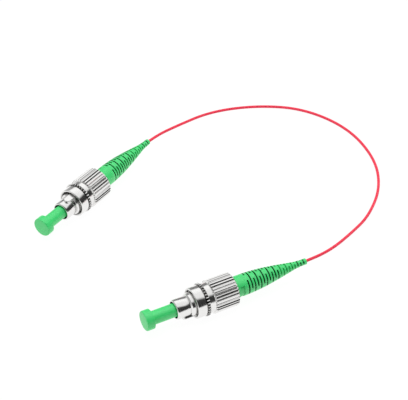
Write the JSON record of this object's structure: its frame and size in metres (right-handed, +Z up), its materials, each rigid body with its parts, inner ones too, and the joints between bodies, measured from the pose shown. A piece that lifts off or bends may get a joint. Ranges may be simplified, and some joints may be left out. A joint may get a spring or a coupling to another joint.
{
  "type": "polarization maintaining fibre patch cord",
  "caption": "Short fibre patch cord: round keyed plugs with knurled coupling nuts, slotted strain-relief boots and dust caps, joined by a thin red cable in an open loop.",
  "frame": {"origin": "on the floor, at the middle of the box around the two plugs", "axes": "+Z up; both plugs lie flat with their boots towards +X and +Y, where the cable leaves them"},
  "size_m": [0.1063, 0.109, 0.01],
  "materials": {
    "green_plastic": "moulded, satin, mid green",
    "nickel_plate": "turned brass with bright nickel plate",
    "red_jacket": "extruded, smooth, bright red",
    "ferrule_ceramic": "ground and polished white zirconia",
    "fibre_glass": "bare drawn glass",
    "flange_steel": "turned stainless steel",
    "spring_steel": "bright spring wire"
  },
  "bodies": {
    "root": {"cable": "red_jacket", "front_plug_barrel": "nickel_plate", "front_rear_body": "nickel_plate", "front_boot": "green_plastic", "front_ferrule_spring": "spring_steel", "rear_plug_barrel": "nickel_plate", "rear_rear_body": "nickel_plate", "rear_boot": "green_plastic", "rear_ferrule_spring": "spring_steel"},
    "front_nut_carrier": {"front_nut_ring": "spring_steel"},
    "front_nut": {"front_coupling_nut": "nickel_plate"},
    "front_ferrule_unit": {"front_ferrule": "ferrule_ceramic", "front_glass_fibre": "fibre_glass", "front_buffer_end": "red_jacket", "front_ferrule_flange": "flange_steel"},
    "front_cap": {"front_dust_cap": "green_plastic"},
    "rear_nut_carrier": {"rear_nut_ring": "spring_steel"},
    "rear_nut": {"rear_coupling_nut": "nickel_plate"},
    "rear_ferrule_unit": {"rear_ferrule": "ferrule_ceramic", "rear_glass_fibre": "fibre_glass", "rear_buffer_end": "red_jacket", "rear_ferrule_flange": "flange_steel"},
    "rear_cap": {"rear_dust_cap": "green_plastic"}
  },
  "joints": [
    {"name": "front_nut_slide", "type": "slide", "parent": "root", "child": "front_nut_carrier", "axis": [-0.8822, -0.4709, 0], "range_m": [0, 0.0036]},
    {"name": "front_nut_turn", "type": "hinge", "parent": "front_nut_carrier", "child": "front_nut", "pos_m": [0.01206, -0.02995, 0.005], "axis": [0.8822, 0.4709, 0], "continuous": true},
    {"name": "front_ferrule_push", "type": "slide", "parent": "root", "child": "front_ferrule_unit", "axis": [0.8822, 0.4709, 0], "range_m": [0, 0.0015], "stiffness_N_per_m": 3000, "springref_m": -0.002, "deforming": ["front_ferrule_spring"]},
    {"name": "front_dust_cap_pull", "type": "slide", "parent": "front_ferrule_unit", "child": "front_cap", "axis": [-0.8822, -0.4709, 0], "range_m": [0, 0.015]},
    {"name": "rear_nut_slide", "type": "slide", "parent": "root", "child": "rear_nut_carrier", "axis": [-0.5878, -0.809, 0], "range_m": [-0.0007, 0.003]},
    {"name": "rear_nut_turn", "type": "hinge", "parent": "rear_nut_carrier", "child": "rear_nut", "pos_m": [-0.02612, 0.01619, 0.005], "axis": [0.5878, 0.809, 0], "continuous": true},
    {"name": "rear_ferrule_push", "type": "slide", "parent": "root", "child": "rear_ferrule_unit", "axis": [0.5878, 0.809, 0], "range_m": [0, 0.0015], "stiffness_N_per_m": 3000, "springref_m": -0.002, "deforming": ["rear_ferrule_spring"]},
    {"name": "rear_dust_cap_pull", "type": "slide", "parent": "rear_ferrule_unit", "child": "rear_cap", "axis": [-0.5878, -0.809, 0], "range_m": [0, 0.015]}
  ]
}
